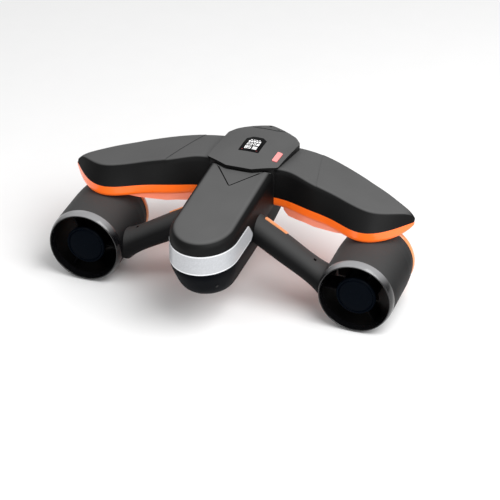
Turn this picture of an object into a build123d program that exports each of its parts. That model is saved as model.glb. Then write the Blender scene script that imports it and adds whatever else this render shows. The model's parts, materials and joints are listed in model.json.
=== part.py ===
from build123d import *
import math
import os

# Twin-thruster underwater scooter. Millimetres, +Z up, nose towards -Y.
# Origin: centre of the footprint, on the plane the two thruster ducts stand on.
# The shapes are drawn from a station DATUM_Y ahead of it, and moved as they are exported.
DATUM_Y = -3.0

# Hull
NOSE_Y = -176.0
HALF_W = 50.0
PART_Z = 118.5
HULL_WALL = 3.0
COVER_WALL = 6.0
TOP_NOSE_Z = 168.6
TOP_SLOPE = 0.0507
TOP_ROUND = 13.0
HULL_REAR = 166.0
FRAME_Y = 42.0
# height, nose y, rear y, half width of the lower hull
HULL_LEVELS = [
    (40.0, -40.0, 64.0, 18.0),
    (45.0, -68.0, 86.0, 25.0),
    (56.0, -112.0, 108.0, 32.0),
    (68.0, -145.0, 126.0, 36.5),
    (85.0, -161.0, 143.0, 42.0),
    (101.0, -170.0, 156.0, 46.5),
    (PART_Z, NOSE_Y, HULL_REAR, HALF_W),
]

# Deck (battery hatch)
DECK_FRONT = 28.0
DECK_TAIL = 181.0
DECK_SKIN = 3.5
DECK_EDGE = 4.0
# y, height on the centre line, height 60 mm out to each side
DECK_CROWN = [
    (10.0, 183.2, 182.6),
    (45.0, 186.6, 184.0),
    (94.0, 188.5, 178.0),
    (140.0, 183.4, 171.6),
    (190.0, 171.5, 162.0),
]
SEAT_LINE = [(10.0, 180.0), (49.0, 181.0), (195.0, 151.8)]
SEAT_GAP = 0.8
HINGE_Y = 33.0
HINGE_Z = 182.0
HINGE_R = 1.0
HINGE_LUGS = (-16, -6, 6, 16)
HINGE_END = 18.5
LATCH_Y = 163.5
LATCH_Z = 175.4
LATCH_PIN_R = 0.75
STRIKE_Y = 155.0
STRIKE_Z = 160.0

# Display and button
LENS_HALF = 16.0
LENS_Y0 = 71.0
LENS_Y1 = 119.0
BUTTON_X = 45.0
BUTTON_Y = 75.0
BUTTON_W = 8.0
BUTTON_L = 30.0
BUTTON_PROUD = 1.1

# Battery
BAT_W = 62.0
BAT_L = 72.0
BAT_Z0 = 90.0
BAT_Z1 = 160.0
BAT_Y = 85.0

# Wings: x, rear y, rear z, top front y, top front z, front foot y, floor z
WING = [
    (38.0, 164.0, 158.0, 49.0, 181.0, 46.0, 117.0),
    (58.0, 161.5, 158.0, 49.0, 181.0, 43.5, 117.0),
    (80.0, 156.0, 159.0, 45.5, 180.0, 38.5, 116.0),
    (105.0, 145.5, 160.5, 36.5, 175.6, 29.0, 115.0),
    (130.0, 132.5, 161.0, 31.0, 170.6, 20.5, 115.0),
    (155.0, 119.7, 159.7, 26.5, 165.6, 10.0, 115.0),
    (180.0, 106.7, 157.2, 20.0, 161.0, -3.5, 115.0),
    (200.0, 96.0, 154.8, 16.0, 158.0, -9.5, 115.0),
    (218.0, 86.0, 152.6, 17.5, 155.2, -6.0, 115.0),
    (235.0, 75.5, 150.0, 26.0, 152.0, 6.0, 115.2),
    (250.0, 65.3, 146.6, 37.5, 147.9, 22.5, 117.5),
    (260.0, 57.8, 142.6, 45.5, 143.2, 35.5, 122.0),
    (267.0, 52.3, 137.0, 48.3, 137.4, 44.5, 128.0),
]
WING_ROUND = 9.0
WING_FOOT = 133.0
WING_FLOOR = 115.0
FLOOR_ROUND = 7.0
WING_WALL = 3.0
STEP_IN = 0.6
STEP_ORIGIN = (107.0, 89.0, 0.0)
STEP_NORMAL = (126.0, 28.0, 0.0)
SCREW_SPOTS = [(66.0, 128.0), (118.0, 120.0), (184.0, 14.0), (176.0, 88.0), (246.0, 46.0)]

# Trigger: x, top front y, lip y, lip z
TRIGGER = [
    (64.0, 47.5, 50.0, 111.0),
    (72.0, 45.5, 47.0, 104.0),
    (85.0, 42.0, 43.5, 102.5),
    (100.0, 36.0, 37.5, 103.5),
    (117.0, 30.5, 32.0, 102.5),
    (130.0, 25.5, 27.0, 104.5),
    (155.0, 15.0, 16.5, 109.0),
    (170.0, 7.0, 9.5, 114.0),
]
TRIGGER_TOP = 118.0
TRIGGER_PIN_Y = 66.0
TRIGGER_PIN_Z = 122.0
TRIGGER_PIN_R = 1.5
TRIGGER_EARS = (59.5, 175.5)
SLOT_AHEAD = 1.5

# Thrusters
DUCT_X = 212.5
DUCT_R = 57.5
BORE_R = 52.0
DUCT_Y0 = -57.0
DUCT_Y1 = 51.0
RING_Y1 = 60.0
LIP_Y = -70.5
POD_R = 27.5
SHAFT_R = 4.0
RUN_FIT = 0.05
PROP_Y0 = 3.5
PROP_Y1 = 36.0
PROP_HUB = 24.0
PROP_TIP = 50.3
BLADES = 4

# Struts: x, axis y, axis z, half width fore-aft, half height
STRUT = [
    (30.0, -24.0, 128.5, 24.0, 21.0),
    (62.0, -25.0, 110.5, 22.5, 19.5),
    (110.0, -27.5, 82.5, 22.0, 19.0),
    (142.0, -29.5, 64.5, 22.5, 19.5),
    (162.0, -31.0, 54.0, 26.5, 24.5),
]


def slab(x0, x1, y0, y1, z0, z1):
    centre = Pos((x0 + x1) / 2, (y0 + y1) / 2, (z0 + z1) / 2)
    return centre * Box(x1 - x0, y1 - y0, z1 - z0)


def rod(p0, p1, r):
    axis = Vector(*p1) - Vector(*p0)
    return extrude(Plane(origin=p0, z_dir=axis) * Circle(r), amount=axis.length)


def prism(points, z0, z1, radius=0.0):
    with BuildSketch(Plane.XY.offset(z0)) as sk:
        with BuildLine():
            FilletPolyline(*points, radius=radius, close=True)
        make_face()
    return extrude(sk.sketch, amount=z1 - z0)


def side_profile(points, half):
    """Closed (y, z) outline carried from -half to +half along X."""
    with BuildSketch(Plane.YZ.offset(-half)) as sk:
        with BuildLine():
            Polyline(*points, close=True)
        make_face()
    return extrude(sk.sketch, amount=2 * half)


def turned(points, x=DUCT_X, z=DUCT_R):
    """Closed (radius, y) outline turned round a fore-aft axis at x, z."""
    with BuildSketch() as sk:
        with BuildLine():
            Polyline(*points, close=True)
        make_face()
    return Pos(x, 0, z) * revolve(sk.sketch, Axis.Y)


def boat_outline(z, nose, rear, half):
    bow = 1.2 * half
    stern = 0.6 * half
    with BuildSketch(Plane.XY.offset(z)) as sk:
        with BuildLine():
            Line((half, nose + bow), (half, rear - stern))
            EllipticalCenterArc((0, rear - stern), half, stern, start_angle=0, arc_size=180)
            Line((-half, rear - stern), (-half, nose + bow))
            EllipticalCenterArc((0, nose + bow), half, bow, start_angle=180, arc_size=180)
        make_face()
    return sk.sketch


def lower_block(inset=0.0):
    faces = []
    for z, nose, rear, half in HULL_LEVELS:
        height = z + inset if z < PART_Z else z
        faces.append(boat_outline(height, nose + inset, rear - inset, half - inset))
    return loft(faces)


def upper_block(inset=0.0, drop=0.0):
    """Everything of the hull above the parting line, sloped on top."""
    base = boat_outline(PART_Z, NOSE_Y + inset, HULL_REAR - inset, HALF_W - inset)
    body = extrude(base, amount=80)
    lid = [(-230, TOP_NOSE_Z - TOP_SLOPE * 62 - drop), (230, TOP_NOSE_Z + TOP_SLOPE * 398 - drop)]
    body -= side_profile([lid[0], lid[1], (230, 260), (-230, 260)], 120)
    top = body.faces().sort_by(Axis.Z)[-1]
    return fillet(top.edges(), max(TOP_ROUND - inset, 3.0))


def above_seat(offset=0.0):
    """Space above the line the deck plate sits over."""
    line = [(y, z + offset) for y, z in SEAT_LINE]
    return side_profile(line + [(195, 260), (10, 260)], 120)


def deck_outline(grow=0.0):
    points = [
        (-20, DECK_FRONT),
        (20, DECK_FRONT),
        (55.5, 45),
        (57.5, 146),
        (47, 159),
        (0, 183.5),
        (-47, 159),
        (-57.5, 146),
        (-55.5, 45),
    ]
    with BuildSketch(Plane.XY.offset(140)) as sk:
        with BuildLine():
            FilletPolyline(*points, radius=(6, 6, 7, 9, 9, 8, 9, 9, 7), close=True)
        make_face()
        if grow:
            offset(amount=grow)
    return extrude(sk.sketch, amount=70)


def crown(drop=0.0):
    """Solid below the crowned top of the deck."""
    faces = []
    for y, mid, edge in DECK_CROWN:
        with BuildSketch(Plane.XZ.offset(-y)) as sk:
            with BuildLine():
                arc = ThreePointArc((-60, edge - drop), (0, mid - drop), (60, edge - drop))
                Polyline(arc @ 1, (60, 120), (-60, 120), arc @ 0)
            make_face()
        faces.append(sk.sketch)
    return loft(faces)


def lens_prism(grow=0.0):
    a = LENS_HALF + grow
    y0 = LENS_Y0 - grow
    y1 = LENS_Y1 + grow
    points = [(-a, y0), (a, y0), (a, y1 - 8), (a - 8, y1), (8 - a, y1), (-a, y1 - 8)]
    return prism(points, 150, 200, 1.5)


def button_prism(grow=0.0):
    box = extrude(Pos(BUTTON_X, BUTTON_Y, 150) * RectangleRounded(
        BUTTON_W + 2 * grow, BUTTON_L + 2 * grow, 2.0 + grow), amount=50)
    return box


def tail_prism(grow=0.0):
    """Rear latch tab in plan."""
    points = [(-14, 161), (14, 161), (24, 165), (34, 175), (0, 195), (-34, 175), (-24, 165)]
    with BuildSketch(Plane.XY.offset(140)) as sk:
        with BuildLine():
            FilletPolyline(*points, radius=1.5, close=True)
        make_face()
        if grow:
            offset(amount=grow)
    return extrude(sk.sketch, amount=70)


def band_profile():
    points = [(-200, PART_Z), (-60, PART_Z), (-50, 124), (-70, 149.5), (-200, 149.5)]
    with BuildSketch(Plane.YZ.offset(-80)) as sk:
        with BuildLine():
            FilletPolyline(*points, radius=(0.5, 7, 5, 7, 0.5), close=True)
        make_face()
    return extrude(sk.sketch, amount=160)


def nose_ring(outer, inner):
    """Vertical-walled ring round the nose between two insets of the outline."""
    ring = extrude(boat_outline(PART_Z, NOSE_Y + outer, HULL_REAR, HALF_W - outer), amount=40)
    hole = extrude(boat_outline(PART_Z, NOSE_Y + inner, HULL_REAR, HALF_W - inner), amount=40)
    return ring - hole


def light_band():
    return nose_ring(-0.6, 3.0) & band_profile()


def led_strip():
    flex = nose_ring(3.0, 3.8) & band_profile() & slab(-80, 80, -200, -80, 126, 142)
    chips = []
    for x in range(-36, 37, 12):
        chips.append(slab(x - 2, x + 2, -200, -100, 132, 136) & nose_ring(3.8, 5.2))
    return Compound([flex] + chips)


def hull_lower():
    tub = lower_block() - lower_block(HULL_WALL)
    tub -= rod((0, 10, 30), (0, 10, 60), 5.0)
    return tub - rod((22, -142, 89), (36, -154.5, 89), 2.3)


def accessory_insert():
    """Threaded brass bush for a tripod screw in the keel."""
    bush = rod((0, 10, 40), (0, 10, 52), 5.0) + rod((0, 10, 43), (0, 10, 46), 7.0)
    return bush - rod((0, 10, 39), (0, 10, 50), 3.175)


def nose_cover():
    shell = upper_block() - upper_block(COVER_WALL, 4.0)
    shell &= slab(-80, 80, -200, FRAME_Y, 100, 200)
    shell -= light_band()
    shell -= led_strip()
    shell -= chevron_prism(0.9) & above_top(-2.4)
    shell -= deck_outline(1.0) & slab(-80, 80, 0, 60, 175.4, 230)
    return shell


def above_top(drop):
    low = TOP_NOSE_Z - TOP_SLOPE * 62 + drop
    high = TOP_NOSE_Z + TOP_SLOPE * 398 + drop
    return side_profile([(-230, low), (230, high), (230, 260), (-230, 260)], 120)


def chevron_prism(grow=0.0):
    points = [(-41.5 - grow, 41.8), (0, -14 - 1.3 * grow), (41.5 + grow, 41.8)]
    return prism(points, 150, 200)


def chevron_panel():
    panel = chevron_prism() & above_top(-2.4) & upper_block()
    return panel - (deck_outline(1.0) & slab(-80, 80, 0, 60, 170, 230))


def latch_pocket():
    return slab(-9.5, 9.5, 150.5, 171, 150, 200)


def frame_screw_spots():
    return [(sx * 42, y) for sx in (-1, 1) for y in (58, 122)]


def seat_height(y):
    (y0, z0), (y1, z1) = SEAT_LINE[1:]
    return z0 + (z1 - z0) * (y - y0) / (y1 - y0)


def hinge_axis(r):
    return rod((-HINGE_END, HINGE_Y, HINGE_Z), (HINGE_END, HINGE_Y, HINGE_Z), r)


def centre_frame():
    body = extrude(boat_outline(PART_Z, NOSE_Y, HULL_REAR, HALF_W), amount=80)
    body &= slab(-80, 80, FRAME_Y, 200, 100, 230)
    body -= above_seat()
    body -= slab(-33, 33, 48.5, 124, 100, 230)
    body -= slab(-40, 40, 128, 148, 100, 158)
    for x, y in frame_screw_spots():
        top = seat_height(y)
        body -= rod((x, y, top - 22), (x, y, top), 1.6)
        body -= rod((x, y, top - 3), (x, y, top + 8), 3.7)
    body -= latch_pocket()
    body += rod((-12, STRIKE_Y, STRIKE_Z), (12, STRIKE_Y, STRIKE_Z), 1.5)
    body -= seal_path() & (above_seat(-1.5) - above_seat(1))
    for x in HINGE_LUGS:
        body += slab(x - 2, x + 2, HINGE_Y, 44, HINGE_Z - 2.6, HINGE_Z)
        body += rod((x - 2, HINGE_Y, HINGE_Z), (x + 2, HINGE_Y, HINGE_Z), 1.8)
    return body - hinge_axis(HINGE_R)


def frame_screws():
    screws = []
    for x, y in frame_screw_spots():
        top = seat_height(y)
        head = rod((x, y, top - 3), (x, y, top - 0.9), 3.4)
        head -= extrude(Pos(x, y, top - 2.2) * RegularPolygon(1.6, 6), amount=3)
        screws.append(head + rod((x, y, top - 20), (x, y, top - 3), 1.6))
    return Compound(screws)


def seal_path():
    outer = prism([(-35.8, 46), (35.8, 46), (35.8, 126.8), (-35.8, 126.8)], 140, 200, 2)
    return outer - prism([(-34.2, 47.6), (34.2, 47.6), (34.2, 125.2), (-34.2, 125.2)], 139, 201, 1)


def hatch_seal():
    return seal_path() & (above_seat(-1.5) - above_seat(0.4))


def battery_hatch():
    lid = (deck_outline() & crown() & above_seat(SEAT_GAP)) - tail_prism(0.9)
    pocket = deck_outline(-DECK_EDGE) & crown(DECK_SKIN)
    pocket -= tail_prism(2.9)
    lid -= pocket
    lid += slab(-19, 19, 29, 35.2, HINGE_Z - 1.2, 184)
    for x in HINGE_LUGS:
        lid -= slab(x - 2.4, x + 2.4, HINGE_Y - 3, 46, 170, HINGE_Z + 2.2)
    lid -= hinge_axis(HINGE_R + RUN_FIT)
    tray = slab(-19, 19, LENS_Y0 - 2.5, LENS_Y1 + 2.5, 178.5, 200) & crown(1.0)
    lid += tray - slab(-16.2, 16.2, LENS_Y0 - 0.2, LENS_Y1 + 0.2, 170, 200)
    lid -= lens_prism(0.05)
    lid += (button_prism(2.0) - button_prism(0.3)) & crown(1.0) & above_seat(SEAT_GAP)
    lid -= button_prism(0.3)
    for sx in (-1, 1):
        lid += slab(sx * 15 - 2, sx * 15 + 2, 156.5, 166, 172.5, 176.3)
    lid -= rod((-18, LATCH_Y, LATCH_Z), (18, LATCH_Y, LATCH_Z), LATCH_PIN_R)
    return lid


def hatch_hinge_pin():
    return hinge_axis(HINGE_R)


def display_lens():
    return lens_prism() & crown(0.2) & slab(-20, 20, 60, 130, 100, 200) - crown(2.4)


def display_module():
    board = slab(-15.8, 15.8, LENS_Y0 + 0.4, LENS_Y1 - 0.4, 178.8, 180.4)
    panel = slab(-13, 13, LENS_Y0 + 4, LENS_Y1 - 8, 180.4, 183.2)
    chips = [slab(x, x + 5, 80, 86, 177.6, 178.8) for x in (-10, -2, 6)]
    return Compound([board + panel] + chips)


def power_button():
    cap = button_prism() & crown(-BUTTON_PROUD)
    return cap - crown(2.0)


def battery_pack():
    body = slab(-BAT_W / 2, BAT_W / 2, BAT_Y - BAT_L / 2, BAT_Y + BAT_L / 2, BAT_Z0, BAT_Z1)
    body = fillet(body.edges().filter_by(Axis.Z), 9)
    body -= slab(-22, 22, BAT_Y - 9, BAT_Y + 9, BAT_Z1 - 5, BAT_Z1 + 1)
    body -= slab(-14, 14, BAT_Y - 40, BAT_Y + 40, BAT_Z0 - 1, BAT_Z0 + 3)
    return body


def battery_strap():
    with BuildSketch(Plane.XZ.offset(-(BAT_Y + 7))) as sk:
        with BuildLine():
            outer = ThreePointArc((-19, BAT_Z1 - 5), (0, BAT_Z1 + 11), (19, BAT_Z1 - 5))
            Line(outer @ 1, (17, BAT_Z1 - 5))
            inner = ThreePointArc((17, BAT_Z1 - 5), (0, BAT_Z1 + 9), (-17, BAT_Z1 - 5))
            Line(inner @ 1, outer @ 0)
        make_face()
    return extrude(sk.sketch, amount=14)


def latch_tab():
    tab = (tail_prism() & deck_outline() & crown() & above_seat(SEAT_GAP)) - rod(
        (0, 176, 160), (0, 176, 190), 1.6)
    tab -= slab(-60, 60, 150, 200, 100, 166)
    return tab


def hatch_latch():
    """Tail tab with the hook that catches the strike bar in the frame."""
    tab = latch_tab()
    for sx in (-1, 1):
        tab -= slab(sx * 15 - 2.5, sx * 15 + 2.5, 150, 168, 100, 177)
    tab += slab(-6, 6, 162.2, 165.8, 156, 172)
    tab += slab(-6, 6, STRIKE_Y - 1, 165.8, 155.4, 157.6)
    return tab - rod((-18, LATCH_Y, LATCH_Z), (18, LATCH_Y, LATCH_Z), LATCH_PIN_R + RUN_FIT)


def controller_board():
    board = prism([(-34, -118), (34, -118), (38, -90), (38, -20), (-38, -20), (-38, -90)], 128, 129.6, 3)
    parts = [board]
    for x in (-24, -8, 8, 24):
        parts.append(rod((x, -34, 129.6), (x, -34, 145), 6))
    for x in (-27, -16, -5, 6, 17):
        parts.append(slab(x, x + 9, -78, -66, 129.6, 132.2))
    parts.append(slab(-12, 12, -104, -86, 129.6, 131.4))
    return Compound(parts)


def drain_plug():
    plug = rod((22, -142, 89), (36, -154.5, 89), 2.2) & lower_block(-0.5)
    return plug - lower_block(HULL_WALL)


def wing_section(x, points, radii):
    with BuildSketch(Plane.YZ.offset(x)) as sk:
        with BuildLine():
            FilletPolyline(*points, radius=radii, close=True)
        make_face()
    return sk.sketch


def hollow_stations(inset):
    """Wing stations, with the solid tip and root left out of a hollow."""
    if not inset:
        return WING
    first = (WING[0][0] + WING_WALL,) + WING[0][1:]
    return [first] + WING[1:-1]


def wing_faces(inset, shrink):
    """Sections of the upper wing body, root to tip."""
    faces = []
    for x, rear_y, rear_z, top_y, top_z, foot_y, _ in hollow_stations(inset):
        size = min(1.0, (rear_y - foot_y) / 60.0)
        r = max(WING_ROUND * size - inset, 1.2)
        points = [
            (rear_y - 3 - inset, WING_FOOT),
            (rear_y - inset, rear_z - inset - shrink),
            (top_y + inset, top_z - inset - shrink),
            (foot_y + inset, WING_FOOT),
        ]
        faces.append(wing_section(x, points, (0, r, r, 0)))
    return faces


def tray_faces(inset):
    """Sections of the orange lower body, root to tip."""
    faces = []
    top = WING_FOOT + (1.0 if inset else 0.0)
    for x, rear_y, _, _, _, foot_y, floor in hollow_stations(inset):
        low = floor + inset
        size = min(1.0, (rear_y - foot_y) / 60.0)
        r = max(min(FLOOR_ROUND * size - inset, 0.75 * (WING_FOOT - low)), 1.0)
        points = [
            (foot_y + inset, top),
            (foot_y + inset, low),
            (rear_y - 3 - inset, low),
            (rear_y - 3 - inset, top),
        ]
        faces.append(wing_section(x, points, (0, r, r, 0)))
    return faces


def wing_upper(inset=0.0, shrink=0.0, reach=300.0):
    """Black upper body of a wing, from the centre line out to reach."""
    faces = wing_faces(inset, shrink)
    return loft([face for face in faces if face.center().X < reach])


def beyond_step():
    """Half-space outboard of the step line across the wing."""
    plane = Plane(origin=STEP_ORIGIN, z_dir=STEP_NORMAL)
    return plane * Pos(0, 0, 200) * Box(900, 900, 400)


def hull_cut():
    return extrude(boat_outline(PART_Z, NOSE_Y, HULL_REAR, HALF_W), amount=90) - above_seat()


def wing_shoulder():
    shell = wing_upper(0.0, STEP_IN, 160) - wing_upper(WING_WALL, STEP_IN, 160)
    shell = shell - beyond_step() - hull_cut() - above_seat()
    return shell - latch_pocket()


def wing_cover():
    return (wing_upper() - wing_upper(WING_WALL)) & beyond_step()


def wing_lower_block(inset=0.0):
    return loft(tray_faces(inset))


def floor_height(x):
    """Height of the underside of the wing tray at x."""
    for near, far in zip(WING, WING[1:]):
        if x <= far[0]:
            return near[6] + (far[6] - near[6]) * (x - near[0]) / (far[0] - near[0])
    return WING[-1][6]


def trigger_slot():
    front = [(x, top_y - SLOT_AHEAD) for x, top_y, *_ in TRIGGER]
    (x0, y0), (x1, y1) = front[0], front[-1]
    points = [(x0 - 1.6, y0)] + front[1:-1] + [(x1 + 1.6, y1), (x1 + 1.6, 71.5), (x0 - 1.6, 71.5)]
    return prism(points, 100, 132)


def trigger_axis(x0, x1, r):
    return rod((x0, TRIGGER_PIN_Y, TRIGGER_PIN_Z), (x1, TRIGGER_PIN_Y, TRIGGER_PIN_Z), r)


def wing_under():
    tray = wing_lower_block() - wing_lower_block(WING_WALL)
    tray -= trigger_slot()
    for x, y in SCREW_SPOTS:
        floor = floor_height(x)
        tray += rod((x, y, floor + 1), (x, y, WING_FOOT - 0.5), 4.5) & wing_lower_block()
        tray -= rod((x, y, floor - 3), (x, y, WING_FOOT + 1), 1.7)
        tray -= rod((x, y, floor - 3), (x, y, floor + 2.2), 3.7)
    for x in TRIGGER_EARS:
        tray += slab(x - 2, x + 2, TRIGGER_PIN_Y - 4, TRIGGER_PIN_Y + 4, floor_height(x) + 1.5, 126)
    tray -= trigger_axis(TRIGGER_EARS[0] - 2, TRIGGER_EARS[1] + 2, TRIGGER_PIN_R)
    return tray - hull_cut() - extrude(boat_outline(100, NOSE_Y, HULL_REAR, HALF_W), amount=20)


def wing_screws():
    screws = []
    for x, y in SCREW_SPOTS:
        floor = floor_height(x)
        head = rod((x, y, floor + 0.3), (x, y, floor + 2.2), 3.5)
        head -= extrude(Pos(x, y, floor) * RegularPolygon(1.6, 6), amount=1.6)
        screws.append(head + rod((x, y, floor + 2.2), (x, y, WING_FOOT - 1), 1.6))
    return Compound(screws)


def trigger():
    faces = []
    for x, top_y, lip_y, lip_z in TRIGGER:
        points = [
            (top_y, TRIGGER_TOP),
            (lip_y, lip_z),
            (lip_y + 6, lip_z - 0.3),
            (62, 113),
            (69, TRIGGER_PIN_Z - 4.5),
            (69, TRIGGER_PIN_Z + 2.5),
            (60, TRIGGER_PIN_Z + 2.5),
        ]
        with BuildSketch(Plane.YZ.offset(x)) as sk:
            with BuildLine():
                Polyline(*points, close=True)
            make_face()
        faces.append(sk.sketch)
    body = loft(faces, ruled=True) + trigger_axis(TRIGGER[0][0], TRIGGER[-1][0], 3.2)
    return body - trigger_axis(60, 175, TRIGGER_PIN_R + RUN_FIT)


def trigger_pin():
    return trigger_axis(TRIGGER_EARS[0] - 2, TRIGGER_EARS[1] + 2, TRIGGER_PIN_R)


def duct_solid():
    return turned([(0, LIP_Y), (53.5, LIP_Y), (57.2, -62), (DUCT_R, DUCT_Y0), (DUCT_R, 20),
                   (56.6, 36), (54.4, DUCT_Y1), (0, DUCT_Y1)])


def strut_faces(inset=0.0):
    faces = []
    for x, y, z, wide, tall in STRUT:
        plane = Plane(origin=(x, y, z), x_dir=(0, 1, 0), z_dir=(0.86, 0, -0.5))
        faces.append(plane * Ellipse(wide - inset, tall - inset))
    return faces


def strut_solid():
    return loft(strut_faces()) - duct_solid() - lower_block() - upper_solid()


def upper_solid():
    return extrude(boat_outline(PART_Z, NOSE_Y, HULL_REAR, HALF_W), amount=60)


def strut():
    tube = strut_solid() - loft(strut_faces(3.5))
    tube -= strut_trim()
    return tube - slab(138, 142, -33, -29, 74, 100)


def strut_trim():
    """Strip let into the upper rear flank of the strut, standing a little proud."""
    band = loft(strut_faces(-1.6)) - loft(strut_faces(1.5))
    upper = Plane(origin=STRUT[1][:3], z_dir=(0.5, 0, 0.86)) * Pos(0, 0, 50) * Box(300, 300, 100)
    return band & slab(59, 92, -21, -10, 60, 150) & upper


def saddle():
    block = slab(DUCT_X - 18, DUCT_X + 18, 15, 44, 92, WING_FLOOR + 1)
    return block - duct_solid() - wing_lower_block()


def duct_shell():
    return turned([
        (BORE_R, DUCT_Y0),
        (DUCT_R, DUCT_Y0),
        (DUCT_R, 20),
        (56.6, 36),
        (54.4, DUCT_Y1),
        (BORE_R, DUCT_Y1),
    ])


def duct_bezel():
    with BuildSketch() as sk:
        with BuildLine():
            Line((BORE_R, DUCT_Y0), (53.1, LIP_Y + 1))
            ThreePointArc((53.1, LIP_Y + 1), (53.9, LIP_Y), (54.9, LIP_Y + 1.4))
            ThreePointArc((54.9, LIP_Y + 1.4), (56.8, -64), (DUCT_R, DUCT_Y0))
            Line((DUCT_R, DUCT_Y0), (BORE_R, DUCT_Y0))
        make_face()
    return Pos(DUCT_X, 0, DUCT_R) * revolve(sk.sketch, Axis.Y)


def rear_ring():
    """Tail ring of the duct with the guard moulded into it."""
    ring = turned([(50.5, DUCT_Y1), (54.4, DUCT_Y1), (55.5, 53), (55.5, 57), (54.2, RING_Y1), (51.5, RING_Y1)])
    for r in (19.0, 35.0):
        ring += turned([(r, 54), (r + 2, 54), (r + 2, 57), (r, 57)])
    ring += turned([(0, 54), (9, 54), (9, 57), (0, 57)])
    for k in range(6):
        ring += Pos(DUCT_X, 0, DUCT_R) * Rot(0, 60 * k + 30, 0) * Pos(29.5, 55.5, 0) * Box(46, 3, 2)
    return ring


def motor_pod():
    pod = turned([(25, -58), (POD_R, -58), (POD_R, -8), (25.5, 2), (SHAFT_R + RUN_FIT, 2),
                  (SHAFT_R + RUN_FIT, -2), (25, -2), (25, -52), (SHAFT_R + RUN_FIT, -52),
                  (SHAFT_R + RUN_FIT, -56), (25, -56)])
    pod += turned([(SHAFT_R + RUN_FIT, -6), (8, -6), (8, -2), (SHAFT_R + RUN_FIT, -2)])
    bore = Pos(DUCT_X, 0, DUCT_R) * Rot(90, 0, 0) * Cylinder(BORE_R, 200)
    core = Pos(DUCT_X, 0, DUCT_R) * Rot(90, 0, 0) * Cylinder(26, 200)
    for angle in (180, 60, -60):
        vane = Box(30, 34, 3.0)
        vane = fillet(vane.edges().filter_by(Axis.X), 1.4)
        vane = Pos(DUCT_X, -36, DUCT_R) * Rot(0, angle, 0) * Pos(40, 0, 0) * vane
        pod += (vane & bore) - core
    return pod


def pod_cap():
    """Shallow lens-shaped cap on the front of the pod."""
    dome = [(25.4 * math.sin(math.radians(t)), -61.8 - 2.2 * math.cos(math.radians(t))) for t in range(0, 91, 15)]
    rim = [(26.4, -60.9), (27.2, -62.1), (28.8, -62.2), (30.0, -60.9), (30.0, -58.0), (0, -58.0)]
    return turned(dome + rim)


def stator():
    ring = turned([(14.5, -48), (25, -48), (25, -12), (14.5, -12)])
    for k in range(12):
        slot = Pos(DUCT_X, -30, DUCT_R) * Rot(0, 30 * k, 0) * Pos(18.5, 0, 0)
        ring -= slot * Box(5, 40, 3.4)
        ring -= slot * Pos(-3, 0, 0) * Box(4, 40, 1.4)
    return ring


def rotor():
    shaft = rod((DUCT_X, -57, DUCT_R), (DUCT_X, 44, DUCT_R), SHAFT_R)
    return shaft + rod((DUCT_X, -46, DUCT_R), (DUCT_X, -14, DUCT_R), 13.8)


def propeller():
    hub = turned([(SHAFT_R, PROP_Y0), (PROP_HUB, PROP_Y0), (PROP_HUB, 26), (21, PROP_Y1), (SHAFT_R, PROP_Y1)])
    limit = Pos(DUCT_X, 18, DUCT_R) * Rot(90, 0, 0) * Cylinder(PROP_TIP, 60)
    bore = Pos(DUCT_X, 18, DUCT_R) * Rot(90, 0, 0) * Cylinder(20, 60)
    faces = []
    for r, chord, thick, pitch in ((19, 27, 4.0, 52), (30, 33, 3.0, 42), (42, 36, 2.2, 32), (52, 33, 1.6, 26)):
        plane = Plane(origin=(0, 0, r), z_dir=(0, 0, 1))
        faces.append(plane * Rot(0, 0, pitch) * RectangleRounded(chord, thick, thick * 0.45))
    blade = loft(faces)
    for k in range(BLADES):
        placed = Pos(DUCT_X, 17.5, DUCT_R) * Rot(0, 360 / BLADES * k, 0) * blade
        hub += (placed & limit) - bore
    return hub


def prop_nut():
    """Domed nut over the end of the shaft."""
    dome = [(12 * math.cos(math.radians(a)), PROP_Y1 + 12 * math.sin(math.radians(a))) for a in range(0, 91, 15)]
    cap = turned([(0, PROP_Y1)] + dome)
    return cap - rod((DUCT_X, PROP_Y1 - 1, DUCT_R), (DUCT_X, 44, DUCT_R), SHAFT_R)


CENTRE = {
    "hull_lower": hull_lower,
    "accessory_insert": accessory_insert,
    "drain_plug": drain_plug,
    "nose_cover": nose_cover,
    "chevron_panel": chevron_panel,
    "light_band": light_band,
    "led_strip": led_strip,
    "controller_board": controller_board,
    "centre_frame": centre_frame,
    "frame_screws": frame_screws,
    "hatch_seal": hatch_seal,
    "battery_hatch": battery_hatch,
    "hatch_hinge_pin": hatch_hinge_pin,
    "hatch_latch": hatch_latch,
    "latch_pin": lambda: rod((-17, LATCH_Y, LATCH_Z), (17, LATCH_Y, LATCH_Z), LATCH_PIN_R),
    "display_lens": display_lens,
    "display_module": display_module,
    "power_button": power_button,
    "battery_pack": battery_pack,
    "battery_strap": battery_strap,
}

SIDES = {
    "wing_shoulder": wing_shoulder,
    "wing_cover": wing_cover,
    "wing_under": wing_under,
    "wing_screws": wing_screws,
    "trigger": trigger,
    "trigger_pin": trigger_pin,
    "strut": strut,
    "strut_trim": strut_trim,
    "saddle": saddle,
    "duct_shell": duct_shell,
    "duct_bezel": duct_bezel,
    "rear_ring": rear_ring,
    "motor_pod": motor_pod,
    "pod_cap": pod_cap,
    "stator": stator,
    "rotor": rotor,
    "propeller": propeller,
    "prop_nut": prop_nut,
}

os.makedirs("parts", exist_ok=True)
for name, make in CENTRE.items():
    export_step(Pos(0, DATUM_Y, 0) * make(), f"parts/{name}.step")
for name, make in SIDES.items():
    right = Pos(0, DATUM_Y, 0) * make()
    export_step(right, f"parts/{name}_right.step")
    export_step(mirror(right, about=Plane.YZ), f"parts/{name}_left.step")
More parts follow.
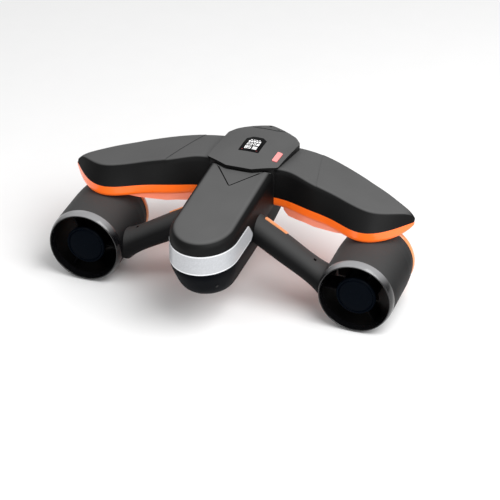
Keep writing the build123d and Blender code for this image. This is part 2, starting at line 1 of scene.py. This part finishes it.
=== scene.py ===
import bpy
import bmesh
import json
import math
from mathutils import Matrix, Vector


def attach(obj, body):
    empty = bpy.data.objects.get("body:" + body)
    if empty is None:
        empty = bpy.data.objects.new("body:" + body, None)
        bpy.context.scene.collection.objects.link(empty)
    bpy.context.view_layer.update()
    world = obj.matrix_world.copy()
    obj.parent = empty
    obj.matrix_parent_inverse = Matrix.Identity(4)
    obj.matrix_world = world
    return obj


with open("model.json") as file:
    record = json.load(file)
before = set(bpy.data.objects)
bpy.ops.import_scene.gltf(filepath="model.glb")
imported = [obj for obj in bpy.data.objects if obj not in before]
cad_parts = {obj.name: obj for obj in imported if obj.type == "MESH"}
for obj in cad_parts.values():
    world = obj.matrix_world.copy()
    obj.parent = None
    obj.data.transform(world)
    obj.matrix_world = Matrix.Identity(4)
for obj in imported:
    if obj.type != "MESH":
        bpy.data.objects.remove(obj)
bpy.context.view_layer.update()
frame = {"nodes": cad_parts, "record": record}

NODES = frame["nodes"]
RECORD = frame["record"]

# Lengths are in metres throughout.
# Axis and bore of the right duct, which the left one mirrors.
DUCT_X = 0.2125
DUCT_Z = 0.0575
BORE = 0.0532

# The light band: its middle, half its height, and how far in from the edge its pale rim starts and is full.
BAND_MID = 0.134
BAND_HALF = 0.0155
RIM_START = 0.0022
RIM_FULL = 0.0016

# Scales of the procedural patterns, and the depth of the moulded grain.
MOTTLE = 18.0
GRAIN = 1400.0
STREAKS = 900.0
CELLS = 420.0
WEAVE = 260.0
GRAIN_DEPTH = 0.00005


def grey(level):
    return (level, level, level)


# ---------------------------------------------------------------- materials
class Paint:
    """A small wrapper for building one procedural material."""

    def __init__(self, name):
        self.mat = bpy.data.materials.new(name)
        self.mat.use_nodes = True
        self.tree = self.mat.node_tree
        self.bsdf = self.tree.nodes["Principled BSDF"]
        self.coord = self.node("ShaderNodeTexCoord")

    def node(self, kind, **values):
        made = self.tree.nodes.new(kind)
        for key, value in values.items():
            setattr(made, key, value)
        return made

    def link(self, a, b):
        self.tree.links.new(a, b)

    def set(self, **values):
        for key, value in values.items():
            self.bsdf.inputs[key.replace("_", " ")].default_value = value

    def noise(self, scale, detail, rough=0.55):
        tex = self.node("ShaderNodeTexNoise")
        tex.inputs["Scale"].default_value = scale
        tex.inputs["Detail"].default_value = detail
        tex.inputs["Roughness"].default_value = rough
        self.link(self.coord.outputs["Object"], tex.inputs["Vector"])
        return tex.outputs["Fac"]

    def remap(self, value, a, b, c, d, smooth=False):
        """The value moved from the range a to b into the range c to d."""
        m = self.node("ShaderNodeMapRange")
        m.interpolation_type = "SMOOTHSTEP" if smooth else "LINEAR"
        for key, number in zip(("From Min", "From Max", "To Min", "To Max"), (a, b, c, d)):
            m.inputs[key].default_value = number
        self.link(value, m.inputs["Value"])
        return m.outputs["Result"]

    def mix(self, factor, first, second, kind="MIX"):
        m = self.node("ShaderNodeMix", data_type="RGBA", blend_type=kind)
        for socket, value in ((m.inputs[0], factor), (m.inputs[6], first), (m.inputs[7], second)):
            if hasattr(value, "is_output"):
                self.link(value, socket)
            elif isinstance(value, (int, float)):
                socket.default_value = value
            else:
                socket.default_value = (*value, 1.0)
        return m.outputs[2]

    def shaded(self, colour, value):
        """The colour multiplied by a grey value."""
        tint = self.node("ShaderNodeCombineColor")
        for k in range(3):
            self.link(value, tint.inputs[k])
        return self.mix(1.0, colour, tint.outputs[0], "MULTIPLY")

    def maths(self, kind, first, second=0.0):
        m = self.node("ShaderNodeMath", operation=kind)
        for socket, value in ((m.inputs[0], first), (m.inputs[1], second)):
            if hasattr(value, "is_output"):
                self.link(value, socket)
            else:
                socket.default_value = value
        return m.outputs[0]

    def along(self, source, axis):
        """One axis of the object coordinates or of the normal."""
        split = self.node("ShaderNodeSeparateXYZ")
        self.link(self.coord.outputs[source], split.inputs[0])
        return split.outputs[axis]

    def up(self, low, high):
        """0 on faces that look sideways or down, 1 on faces that look up: the mask for painted top light
        and painted side shade.
        """
        return self.remap(self.along("Normal", "Z"), low, high, 0.0, 1.0, smooth=True)

    def bump(self, value, strength, distance):
        b = self.node("ShaderNodeBump")
        b.inputs["Strength"].default_value = strength
        b.inputs["Distance"].default_value = distance
        self.link(value, b.inputs["Height"])
        self.link(b.outputs["Normal"], self.bsdf.inputs["Normal"])

    def finish(self, colour, rough, spread=0.05, bump=0.12):
        """Colour with slow mottling, roughness that varies, and a fine moulded grain."""
        slow = self.noise(MOTTLE, 3.0)
        fine = self.noise(GRAIN, 2.0, 0.7)
        shade = self.remap(slow, 0.3, 0.7, 1.0 - spread, 1.0 + spread)
        self.link(self.shaded(colour, shade), self.bsdf.inputs["Base Color"])
        self.link(self.remap(slow, 0.25, 0.75, rough - 0.04, rough + 0.05), self.bsdf.inputs["Roughness"])
        self.bump(fine, bump, GRAIN_DEPTH)
        return self.mat


def painted_toplight_plastic(name, top, side, rough, low=0.45, high=0.93, spec=0.5):
    """Moulded plastic with painted light: one colour where it looks up, which is painted top light, and
    another elsewhere, which is painted side shade.
    """
    p = Paint(name)
    p.set(Specular_IOR_Level=spec)
    return p.finish(p.mix(p.up(low, high), side, top), rough)


def plain(name, colour, rough, spread=0.06, bump=0.12, coat=0.0, spec=0.5):
    p = Paint(name)
    p.set(Coat_Weight=coat, Coat_Roughness=0.06, Specular_IOR_Level=spec)
    return p.finish(colour, rough, spread, bump)


def brushed(name, colour, rough, stretch):
    p = Paint(name)
    p.set(Metallic=1.0)
    mapping = p.node("ShaderNodeMapping")
    mapping.inputs["Scale"].default_value = stretch
    p.link(p.coord.outputs["Object"], mapping.inputs["Vector"])
    streak = p.node("ShaderNodeTexNoise")
    streak.inputs["Scale"].default_value = STREAKS
    p.link(mapping.outputs[0], streak.inputs["Vector"])
    shade = p.remap(streak.outputs["Fac"], 0.3, 0.7, 0.0, 1.0)
    p.link(p.mix(shade, [c * 0.75 for c in colour], colour), p.bsdf.inputs["Base Color"])
    p.link(p.remap(streak.outputs["Fac"], 0.3, 0.7, rough - 0.08, rough + 0.1), p.bsdf.inputs["Roughness"])
    p.bump(streak.outputs["Fac"], 0.1, 0.00003)
    return p.mat


def lit_plastic(name, colour, glow, rough, border=None):
    """Frosted plastic with a faint light of its own, a cellular texture and, on the band, a paler rim."""
    p = Paint(name)
    shade = colour
    if border:
        reach = p.maths("ABSOLUTE", p.maths("SUBTRACT", p.along("Object", "Z"), BAND_MID))
        rim = p.remap(reach, BAND_HALF - RIM_START, BAND_HALF - RIM_FULL, 0.0, 1.0)
        shade = p.mix(rim, colour, border)
    cells = p.node("ShaderNodeTexVoronoi", feature="F1")
    cells.inputs["Scale"].default_value = CELLS
    p.link(p.coord.outputs["Object"], cells.inputs["Vector"])
    fleck = p.remap(cells.outputs["Distance"], 0.0, 0.8, 0.86, 1.0)
    p.link(p.shaded(shade, fleck), p.bsdf.inputs["Base Color"])
    p.set(Roughness=rough, Emission_Color=(*colour, 1.0), Emission_Strength=glow)
    p.set(Coat_Weight=0.4, Coat_Roughness=0.12)
    p.bump(cells.outputs["Distance"], 0.15, 0.0001)
    return p.mat


def woven(name, colour, dark):
    p = Paint(name)
    wave = p.node("ShaderNodeTexWave", wave_type="BANDS", bands_direction="DIAGONAL")
    wave.inputs["Scale"].default_value = WEAVE
    p.link(p.coord.outputs["Object"], wave.inputs["Vector"])
    p.link(p.mix(wave.outputs["Fac"], dark, colour), p.bsdf.inputs["Base Color"])
    p.set(Roughness=0.85, Sheen_Weight=0.3)
    p.bump(wave.outputs["Fac"], 0.4, 0.0003)
    return p.mat


def ducted(name, top, side, bore_shade, rough, spec):
    """Duct wall with painted light: lighter where it looks up, painted shade on its sides, and painted
    shade that turns it a deep black inside the bore.
    """
    p = Paint(name)
    p.set(Specular_IOR_Level=spec)
    across = p.maths("SUBTRACT", p.maths("ABSOLUTE", p.along("Object", "X")), DUCT_X)
    rise = p.maths("SUBTRACT", p.along("Object", "Z"), DUCT_Z)
    square = p.maths("ADD", p.maths("MULTIPLY", across, across), p.maths("MULTIPLY", rise, rise))
    bore_shade_mask = p.remap(p.maths("SQRT", square), BORE, BORE + 0.0004, 1.0, 0.0)
    toplit_wall = p.mix(p.up(0.2, 1.0), side, top)
    return p.finish(p.mix(bore_shade_mask, toplit_wall, bore_shade), rough)


def painted_highlight_lip(name, crest_highlight, body, rough):
    """Gloss black ring with a painted highlight: a lighter colour along its upper edge only."""
    p = Paint(name)
    p.set(Coat_Weight=0.4, Coat_Roughness=0.1, Specular_IOR_Level=0.3)
    above = p.remap(p.along("Object", "Z"), DUCT_Z + 0.005, DUCT_Z + 0.045, 0.0, 1.0, smooth=True)
    return p.finish(p.mix(p.maths("MULTIPLY", above, p.up(0.45, 0.9)), body, crest_highlight), rough)


def glowing(name, colour, rough, glow, coat, spread):
    """Clear-coated colour with a little light of its own, which stands for fill light."""
    p = Paint(name)
    p.set(Coat_Weight=coat, Coat_Roughness=0.07, Emission_Color=(*colour, 1.0), Emission_Strength=glow)
    return p.finish(colour, rough, spread, 0.04)


MATERIALS = {
    # Painted top light and side shade: shell, hull and frame take their first colour where they look up and
    # their second elsewhere.
    "shell_grey": painted_toplight_plastic("shell_grey", grey(0.088), (0.003, 0.003, 0.0031), 0.52, 0.76, 0.97, 0.12),
    "hull_navy": painted_toplight_plastic("hull_navy", (0.003, 0.004, 0.006), (0.0015, 0.002, 0.0032), 0.5, spec=0.02),
    "frame_black": painted_toplight_plastic("frame_black", grey(0.02), grey(0.006), 0.6, spec=0.2),
    "light_white": lit_plastic("light_white", (0.42, 0.43, 0.45), 0.03, 0.4, (0.72, 0.73, 0.75)),
    "led_board": plain("led_board", (0.7, 0.7, 0.62), 0.5),
    "circuit": plain("circuit", (0.02, 0.11, 0.05), 0.4),
    "screw_steel": brushed("screw_steel", grey(0.5), 0.35, (1, 1, 0.1)),
    "pin_steel": brushed("pin_steel", grey(0.55), 0.3, (1, 0.1, 1)),
    "seal_rubber": plain("seal_rubber", grey(0.02), 0.7, bump=0.3),
    "display_black": plain("display_black", (0.002, 0.002, 0.0025), 0.25, bump=0.01, spec=0.04),
    # Painted top light and side shade on the button and the battery case as well.
    "button_pink": painted_toplight_plastic("button_pink", (0.86, 0.31, 0.30), (0.6, 0.14, 0.14), 0.4, spec=0.3),
    "battery_case": painted_toplight_plastic("battery_case", grey(0.05), grey(0.03), 0.5),
    "strap_orange": woven("strap_orange", (0.9, 0.2, 0.02), (0.4, 0.08, 0.01)),
    "orange_shell": glowing("orange_shell", (1.0, 0.155, 0.012), 0.3, 0.16, 0.3, 0.04),
    "trigger_peach": glowing("trigger_peach", (0.97, 0.27, 0.16), 0.14, 0.34, 1.0, 0.08),
    "orange_trim": plain("orange_trim", (0.95, 0.38, 0.17), 0.3, spread=0.05, coat=0.3),
    # Painted light on the duct: lighter where it looks up, painted shade on its sides and deep painted
    # shade inside the bore.
    "duct_charcoal": ducted("duct_charcoal", grey(0.052), (0.004, 0.004, 0.0043), grey(0.001), 0.5, 0.06),
    # Painted highlight: the bezel is lighter along its upper edge.
    "bezel_gloss": painted_highlight_lip("bezel_gloss", (0.24, 0.24, 0.245), (0.003, 0.003, 0.0035), 0.22),
    "ring_tan": plain("ring_tan", (0.72, 0.27, 0.09), 0.3, coat=0.4),
    "pod_black": plain("pod_black", (0.0015, 0.0015, 0.0018), 0.4, bump=0.05, spec=0.03),
    "cap_gloss": plain("cap_gloss", (0.0008, 0.0018, 0.0036), 0.3, bump=0.02, spec=0.02),
    "stator_steel": brushed("stator_steel", (0.3, 0.2, 0.12), 0.4, (0.1, 1, 0.1)),
    "prop_black": plain("prop_black", (0.006, 0.004, 0.0035), 0.4, spec=0.15),
    "nut_alu": brushed("nut_alu", (0.3, 0.3, 0.31), 0.3, (1, 0.1, 1)),
    "brass": brushed("brass", (0.75, 0.5, 0.2), 0.35, (1, 1, 0.1)),
    # Painted shadow: this black fills the gaps along the seams and the hole in the latch.
    "seam_black": plain("seam_black", grey(0.002), 0.8, spec=0.02),
    "mark_white": lit_plastic("mark_white", grey(0.9), 0.5, 0.4),
    "mark_red": lit_plastic("mark_red", (0.25, 0.01, 0.012), 0.1, 0.4),
}


def paint_cad():
    for entry in RECORD["subparts"]:
        node = NODES[entry["node"]]
        node.data.materials.clear()
        node.data.materials.append(MATERIALS[entry["material_slot"]])


paint_cad()


# ---------------------------------------------------------------- added pieces
def add_piece(name, bm, material, body):
    mesh = bpy.data.meshes.new(name)
    bm.normal_update()
    bm.to_mesh(mesh)
    bm.free()
    obj = bpy.data.objects.new(name, mesh)
    bpy.context.scene.collection.objects.link(obj)
    mesh.materials.append(material)
    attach(obj, body)


def skin(bm, rings):
    """Joins each ring of points to the next and closes both ends."""
    for near, far in zip(rings, rings[1:]):
        for k in range(len(near)):
            j = (k + 1) % len(near)
            bm.faces.new((near[k], near[j], far[j], far[k]))
    bm.faces.new(rings[0][::-1])
    bm.faces.new(rings[-1])


def top_of(node, x, y):
    """Height of a CAD node's top at x, y."""
    hit, place, _, _ = NODES[node].ray_cast(Vector((x, y, 1.0)), Vector((0, 0, -1)))
    return place.z if hit else None


# ---------------------------------------------------------------- display
MARK_LIFT = 0.00012
MARK_THICK = 0.0002

# Strokes of a digit as shares of its width and depth: left, right, front, back.
SEGMENTS = {
    "top": (0, 1, 0.86, 1),
    "mid": (0, 1, 0.43, 0.57),
    "low": (0, 1, 0, 0.14),
    "ul": (0, 0.22, 0.5, 1),
    "ur": (0.78, 1, 0.5, 1),
    "ll": (0, 0.22, 0, 0.5),
    "lr": (0.78, 1, 0, 0.5),
}
DIGITS = {
    "8": SEGMENTS.keys(),
    "5": ("top", "ul", "mid", "lr", "low"),
    "3": ("top", "ur", "mid", "lr", "low"),
    "2": ("top", "ur", "mid", "ll", "low"),
    "0": ("top", "ul", "ur", "ll", "lr", "low"),
}

# Rows of the read-out from front to back. Sizes are width, then depth.
READOUT_LEFT = -0.0095
LARGE_ROW = 0.0765
LARGE_DIGIT = (0.0042, 0.0085)
LARGE_SECOND = -0.0042
LEVEL_LEFT = 0.0025
LEVEL_BAR = (0.007, 0.0017)
LEVEL_STEP = 0.003
SMALL_ROW = 0.088
SMALL_DIGIT = (0.0036, 0.0065)
SMALL_SECOND = -0.0048
SMALL_THIRD = 0.0006
BLOCK_LEFT = 0.0058
BLOCK = (0.0038, 0.0065)
CHARGE_ROW = 0.0972
CHARGE_BAR = (0.0028, 0.0042)
CHARGE_STEP = 0.004
TICK_ROW = 0.1038
TICK_LEFT = -0.0078
TICK = (0.0026, 0.0018)
TICK_STEP = 0.0042
RULE_LEFT = -0.0125
RULE_ROW = 0.0729
RULE = (0.025, 0.0009)


def lens_mark(bm, x, y, size):
    """One small raised bar printed on the display window, following its crown."""
    wide, deep = size
    lows = []
    tops = []
    for px, py in ((x, y), (x + wide, y), (x + wide, y + deep), (x, y + deep)):
        z = top_of("display_lens", px, py)
        if z is None:
            return
        tops.append(bm.verts.new((px, py, z + MARK_LIFT)))
        lows.append(bm.verts.new((px, py, z + MARK_LIFT - MARK_THICK)))
    skin(bm, [lows, tops])


def digit(bm, char, x, y, size):
    wide, deep = size
    for key in DIGITS[char]:
        left, right, front, back = SEGMENTS[key]
        lens_mark(bm, x + left * wide, y + front * deep, ((right - left) * wide, (back - front) * deep))


def bars(bm, count, x, y, step_x, step_y, size):
    for k in range(count):
        lens_mark(bm, x + step_x * k, y + step_y * k, size)


def display_marks():
    """Generic read-out: two numbers, level and charge bars, a block and ticks, and a red rule."""
    bm = bmesh.new()
    digit(bm, "8", READOUT_LEFT, LARGE_ROW, LARGE_DIGIT)
    digit(bm, "5", LARGE_SECOND, LARGE_ROW, LARGE_DIGIT)
    bars(bm, 3, LEVEL_LEFT, LARGE_ROW, 0.0, LEVEL_STEP, LEVEL_BAR)
    digit(bm, "2", READOUT_LEFT, SMALL_ROW, SMALL_DIGIT)
    digit(bm, "3", SMALL_SECOND, SMALL_ROW, SMALL_DIGIT)
    digit(bm, "0", SMALL_THIRD, SMALL_ROW, SMALL_DIGIT)
    lens_mark(bm, BLOCK_LEFT, SMALL_ROW, BLOCK)
    bars(bm, 5, READOUT_LEFT, CHARGE_ROW, CHARGE_STEP, 0.0, CHARGE_BAR)
    bars(bm, 4, TICK_LEFT, TICK_ROW, TICK_STEP, 0.0, TICK)
    add_piece("display_marks", bm, MATERIALS["mark_white"], "hatch")
    bm = bmesh.new()
    lens_mark(bm, RULE_LEFT, RULE_ROW, RULE)
    add_piece("display_line", bm, MATERIALS["mark_red"], "hatch")


display_marks()

# ---------------------------------------------------------------- seams
SEAM_LIFT = 0.00008
SEAM_DEPTH = 0.0006
SEAM_STEPS = 14
CHEVRON_WIDTH = 0.0017
CHEVRON = [(-0.036, 0.0326), (0.0, -0.0177), (0.036, 0.0326)]
LATCH_WIDTH = 0.0013
LATCH_CORNERS = [(0.014, 0.1576), (0.024, 0.1617), (0.033, 0.1715)]
LATCH_SEAM = [(-x, y) for x, y in reversed(LATCH_CORNERS)] + LATCH_CORNERS


def seam_path(points):
    """Evenly spaced (point, sideways direction) pairs along a polyline in plan."""
    path = []
    for a, b in zip(points, points[1:]):
        a, b = Vector(a), Vector(b)
        side = Vector((a.y - b.y, b.x - a.x)).normalized()
        for i in range(SEAM_STEPS):
            path.append((a.lerp(b, (i + 0.5) / SEAM_STEPS), side))
    return [(Vector(points[0]), path[0][1])] + path + [(Vector(points[-1]), path[-1][1])]


def surface_line(name, nodes, points, width, body):
    """Dark shadow line drawn along a seam: a thin ribbon that follows the surfaces below it."""
    bm = bmesh.new()
    rings = []
    for spot, side in seam_path(points):
        left, right = spot - side * (width / 2), spot + side * (width / 2)
        heights = [top_of(node, edge.x, edge.y) for node in nodes for edge in (left, right)]
        heights = [z for z in heights if z is not None]
        if not heights:
            continue
        high = max(heights) + SEAM_LIFT
        low = high - SEAM_DEPTH
        corners = ((left, high), (right, high), (right, low), (left, low))
        rings.append([bm.verts.new((edge.x, edge.y, z)) for edge, z in corners])
    skin(bm, rings)
    bmesh.ops.recalc_face_normals(bm, faces=bm.faces)
    add_piece(name, bm, MATERIALS["seam_black"], body)


surface_line("chevron_line", ("nose_cover", "chevron_panel"), CHEVRON, CHEVRON_WIDTH, "scooter")
surface_line("latch_line", ("battery_hatch", "hatch_latch"), LATCH_SEAM, LATCH_WIDTH, "hatch")

# ---------------------------------------------------------------- latch dot
DOT_Y = 0.173
DOT_R = 0.0019
DOT_SIDES = 24
DOT_LIFT = 0.00012
DOT_DEPTH = 0.0015
DOT_CROWN = 0.8
BESIDE_DOT = 0.003


def latch_dot():
    """Dark dot on the tail latch, just above the face beside it and slightly crowned; it is painted shade
    standing for the hole in the latch.
    """
    bm = bmesh.new()
    level = top_of("hatch_latch", BESIDE_DOT, DOT_Y) + DOT_LIFT
    rings = []
    for z, scale in ((level - DOT_DEPTH, 1.0), (level, 1.0), (level + DOT_LIFT, DOT_CROWN)):
        angles = [math.tau * k / DOT_SIDES for k in range(DOT_SIDES)]
        rings.append([bm.verts.new((DOT_R * scale * math.cos(a), DOT_Y + DOT_R * scale * math.sin(a), z))
                      for a in angles])
    skin(bm, rings)
    add_piece("latch_dot", bm, MATERIALS["seam_black"], "latch")


latch_dot()

# ---------------------------------------------------------------- studio
# The camera stands DISTANCE from REF and looks at a point a little right of it and below it.
REF = Vector((0.0, 0.066, 0.1555))
AZIMUTH = math.radians(19.4)
ELEVATION = math.radians(30.2)
DISTANCE = 3.579
AIM_RIGHT = 0.0035
AIM_DOWN = 0.1188
LENS_MM = 171.504
SENSOR_MM = 36.0
CLIP_END = 50.0

WORLD_LIGHT = 0.52
FLOOR_HALF = 12.0
LIGHT_AIM = Vector((0, 0, 0.1))
# Each light: name, place, width, height, watts.
LIGHTS = (
    ("key", (1.2, -0.5, 1.9), 1.8, 1.8, 58.0),
    ("glint", (-0.75, -1.1, 1.8), 0.5, 0.5, 4.0),
    ("rim", (-1.4, 1.6, 1.5), 1.0, 1.0, 2.0),
    ("fill", (0.2, -2.2, 0.35), 1.6, 0.5, 12.0),
)


def look(obj, place, target):
    obj.location = place
    obj.rotation_euler = (target - Vector(place)).to_track_quat("-Z", "Y").to_euler()


def camera():
    right = Vector((math.cos(AZIMUTH), math.sin(AZIMUTH), 0.0))
    back = Vector((math.sin(AZIMUTH) * math.cos(ELEVATION), -math.cos(AZIMUTH) * math.cos(ELEVATION),
                   math.sin(ELEVATION)))
    up = back.cross(right)
    data = bpy.data.cameras.new("camera")
    data.lens = LENS_MM
    data.sensor_width = SENSOR_MM
    data.clip_end = CLIP_END
    cam = bpy.data.objects.new("camera", data)
    bpy.context.scene.collection.objects.link(cam)
    look(cam, REF + back * DISTANCE, REF + right * AIM_RIGHT - up * AIM_DOWN)
    bpy.context.scene.camera = cam


def area(name, place, width, height, power):
    data = bpy.data.lights.new(name, "AREA")
    data.shape = "RECTANGLE"
    data.size = width
    data.size_y = height
    data.energy = power
    light = bpy.data.objects.new(name, data)
    bpy.context.scene.collection.objects.link(light)
    look(light, place, LIGHT_AIM)


def floor():
    bm = bmesh.new()
    bmesh.ops.create_grid(bm, x_segments=2, y_segments=2, size=FLOOR_HALF)
    mesh = bpy.data.meshes.new("floor")
    bm.to_mesh(mesh)
    bm.free()
    plane = bpy.data.objects.new("floor", mesh)
    bpy.context.scene.collection.objects.link(plane)
    mesh.materials.append(plain("floor_white", grey(0.86), 0.9, spread=0.005, bump=0.0, spec=0.0))


def studio():
    camera()
    floor()
    world = bpy.data.worlds.new("world")
    world.use_nodes = True
    background = world.node_tree.nodes["Background"]
    background.inputs[0].default_value = (1, 1, 1, 1)
    background.inputs[1].default_value = WORLD_LIGHT
    bpy.context.scene.world = world
    bpy.context.scene.view_settings.view_transform = "Standard"
    for light in LIGHTS:
        area(*light)


studio()
